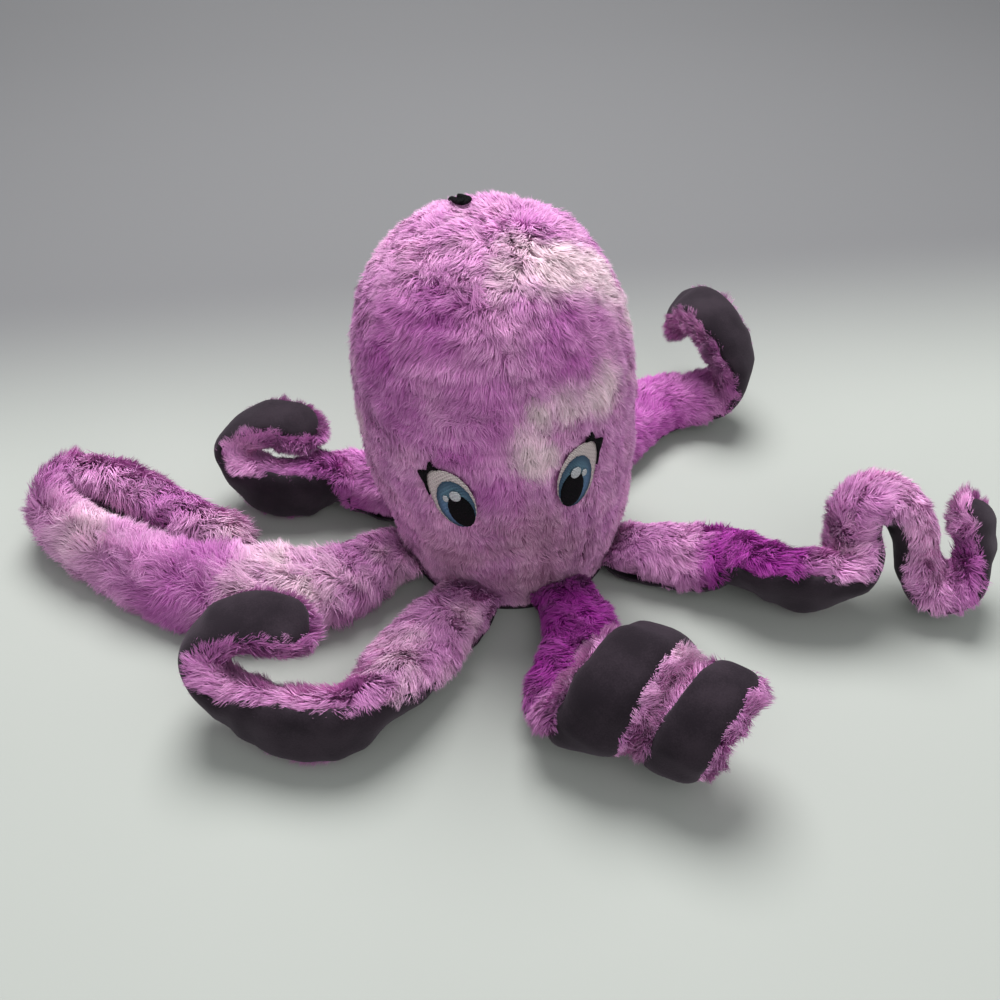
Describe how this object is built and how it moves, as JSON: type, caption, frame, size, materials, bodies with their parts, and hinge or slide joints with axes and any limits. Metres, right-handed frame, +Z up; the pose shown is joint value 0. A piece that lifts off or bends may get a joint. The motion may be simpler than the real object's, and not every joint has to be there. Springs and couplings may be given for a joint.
{
  "type": "plush octopus",
  "caption": "Free-standing plush octopus: a stuffed long-pile head with embroidered eyes on a dark base panel, and curling stuffed arms with dark linings, each lifting at its root seam.",
  "frame": {"origin": "the middle of the base panel's underside, on the surface the toy rests on", "axes": "+Z up through the head, -Y the way the face looks, +X the toy's own left side, to the viewer's right"},
  "size_m": [0.4307, 0.3276, 0.1754],
  "materials": {
    "pile": "long soft pile, tie-dyed orchid, magenta and pale pink",
    "pile_face": "long soft pile, mauve and magenta",
    "suede": "smooth matte microfibre",
    "wadding": "loose polyester filling",
    "white_thread": "satin-stitch embroidery",
    "blue_thread": "satin-stitch embroidery",
    "black_thread": "satin-stitch embroidery and cord"
  },
  "bodies": {
    "head": {"base_panel": "suede", "head_panel_back_right": "pile", "head_panel_back_left": "pile", "head_panel_front_left": "pile_face", "head_panel_front_right": "pile_face", "head_stuffing": "wadding", "hang_loop": "black_thread", "eye_white_left": "white_thread", "eye_iris_left": "blue_thread", "eye_pupil_left": "black_thread", "eye_glint_left": "white_thread", "eye_glint_small_left": "white_thread", "eye_lashes_left": "black_thread", "eye_white_right": "white_thread", "eye_iris_right": "blue_thread", "eye_pupil_right": "black_thread", "eye_glint_right": "white_thread", "eye_glint_small_right": "white_thread", "eye_lashes_right": "black_thread"},
    "arm_1": {"arm_1_cover": "pile", "arm_1_lining": "suede", "arm_1_wadding": "wadding"},
    "arm_2": {"arm_2_cover": "pile", "arm_2_lining": "suede", "arm_2_wadding": "wadding"},
    "arm_3": {"arm_3_cover": "pile", "arm_3_lining": "suede", "arm_3_wadding": "wadding"},
    "arm_4": {"arm_4_cover": "pile", "arm_4_lining": "suede", "arm_4_wadding": "wadding"},
    "arm_5": {"arm_5_cover": "pile", "arm_5_lining": "suede", "arm_5_wadding": "wadding"},
    "arm_6": {"arm_6_cover": "pile", "arm_6_lining": "suede", "arm_6_wadding": "wadding"},
    "arm_7": {"arm_7_cover": "pile", "arm_7_lining": "suede", "arm_7_wadding": "wadding"},
    "arm_8": {"arm_8_cover": "pile", "arm_8_lining": "suede", "arm_8_wadding": "wadding"}
  },
  "joints": [
    {"name": "arm_1_root", "type": "hinge", "parent": "head", "child": "arm_1", "pos_m": [0.01845, -0.06035, 0.012], "axis": [-0.9563, -0.2924, 0], "range_deg": [-70, 45]},
    {"name": "arm_2_root", "type": "hinge", "parent": "head", "child": "arm_2", "pos_m": [0.05493, -0.02921, 0.012], "axis": [-0.4695, -0.8829, 0], "range_deg": [-70, 60]},
    {"name": "arm_3_root", "type": "hinge", "parent": "head", "child": "arm_3", "pos_m": [0.04946, 0.03864, 0.012], "axis": [0.6157, -0.788, 0], "range_deg": [-70, 55]},
    {"name": "arm_4_root", "type": "hinge", "parent": "head", "child": "arm_4", "pos_m": [0.01524, 0.06114, 0.012], "axis": [0.9703, -0.2419, 0], "range_deg": [-40, 40]},
    {"name": "arm_5_root", "type": "hinge", "parent": "head", "child": "arm_5", "pos_m": [-0.02573, 0.0578, 0.012], "axis": [0.9135, 0.4067, 0], "range_deg": [-70, 45]},
    {"name": "arm_6_root", "type": "hinge", "parent": "head", "child": "arm_6", "pos_m": [-0.05642, 0.02875, 0.012], "axis": [0.454, 0.891, 0], "range_deg": [-55, 35]},
    {"name": "arm_7_root", "type": "hinge", "parent": "head", "child": "arm_7", "pos_m": [-0.0612, -0.01871, 0.012], "axis": [-0.2924, 0.9563, 0], "range_deg": [-70, 40]},
    {"name": "arm_8_root", "type": "hinge", "parent": "head", "child": "arm_8", "pos_m": [-0.02962, -0.05571, 0.012], "axis": [-0.8829, 0.4695, 0], "range_deg": [-70, 45]}
  ]
}
